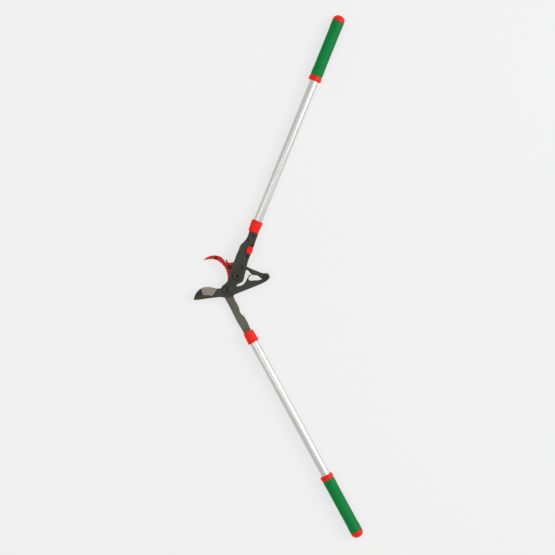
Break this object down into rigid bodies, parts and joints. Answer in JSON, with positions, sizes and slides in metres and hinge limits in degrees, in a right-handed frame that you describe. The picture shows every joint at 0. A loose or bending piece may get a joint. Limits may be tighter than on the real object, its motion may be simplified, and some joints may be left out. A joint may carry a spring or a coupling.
{
  "type": "ratchet lopper",
  "caption": "Long-handled ratchet bypass lopper lying open: curved blade, red hook, notched pawl, sliding lock and two tube handles with soft grips.",
  "frame": {"origin": "centre of the main bolt's flat rear end face, with the tool lying open on its back", "axes": "+Z along the main bolt towards the front of the tool, +Y roughly along the upper handle, +X away from the jaws"},
  "size_m": [0.4227, 1.3064, 0.0333],
  "materials": {
    "dark_steel": "dark gunmetal coat with light wear",
    "arm_steel": "bare grey steel with fine brushing",
    "bright_steel": "ground and polished steel",
    "black_steel": "blackened steel",
    "red_paint": "red paint over steel",
    "red_plastic": "moulded red plastic",
    "green_rubber": "soft green grip with fine ribs",
    "aluminium": "drawn silver tube"
  },
  "bodies": {
    "frame": {"lower_arm": "arm_steel", "lower_tang": "arm_steel", "hook": "red_paint", "hook_tip_rivet": "black_steel", "hook_root_rivet": "black_steel", "thrust_plate": "dark_steel", "main_bolt": "black_steel", "main_nut": "black_steel", "main_washer": "dark_steel", "blade_screw": "black_steel", "blade_washer": "dark_steel", "blade_spacer": "dark_steel", "blade_nut": "black_steel", "lower_ferrule": "red_plastic", "lower_tube": "aluminium", "lower_grip_collar": "red_plastic", "lower_grip": "green_rubber", "lower_end_cap": "red_plastic"},
    "lever": {"lever_front_cheek": "dark_steel", "lever_back_cheek": "dark_steel", "lever_core": "dark_steel", "drive_pin": "black_steel", "cheek_rivet_1": "black_steel", "cheek_rivet_2": "black_steel", "upper_ferrule": "red_plastic", "upper_tube": "aluminium", "upper_grip_collar": "red_plastic", "upper_grip": "green_rubber", "upper_end_cap": "red_plastic"},
    "blade": {"blade": "bright_steel", "tail_screw": "black_steel", "tail_nut": "black_steel"},
    "pawl": {"pawl": "dark_steel", "pawl_spring": "bright_steel"},
    "lock": {"lock_knob": "red_plastic", "lock_stem": "dark_steel", "lock_plate": "dark_steel"}
  },
  "joints": [
    {"name": "lever_close", "type": "hinge", "parent": "frame", "child": "lever", "pos_m": [0, 0, 0.01575], "axis": [0, 0, -1], "range_deg": [0, 122]},
    {"name": "blade_close", "type": "hinge", "parent": "frame", "child": "blade", "pos_m": [-0.025, -0.03375, 0.01815], "axis": [0, 0, -1], "range_deg": [0, 78]},
    {"name": "pawl_swing", "type": "hinge", "parent": "blade", "child": "pawl", "pos_m": [0.0725, -0.00125, 0.02195], "axis": [0, 0, 1], "range_deg": [0, 18.5]},
    {"name": "lock_slide", "type": "slide", "parent": "lever", "child": "lock", "axis": [-0.3746, -0.9272, 0], "range_m": [0, 0.01]}
  ],
  "couplings": [
    {"joint": "blade_close", "follows": "lever_close", "ratio": 0.6393},
    {"joint": "pawl_swing", "follows": "lever_close", "ratio": 0.1508}
  ]
}
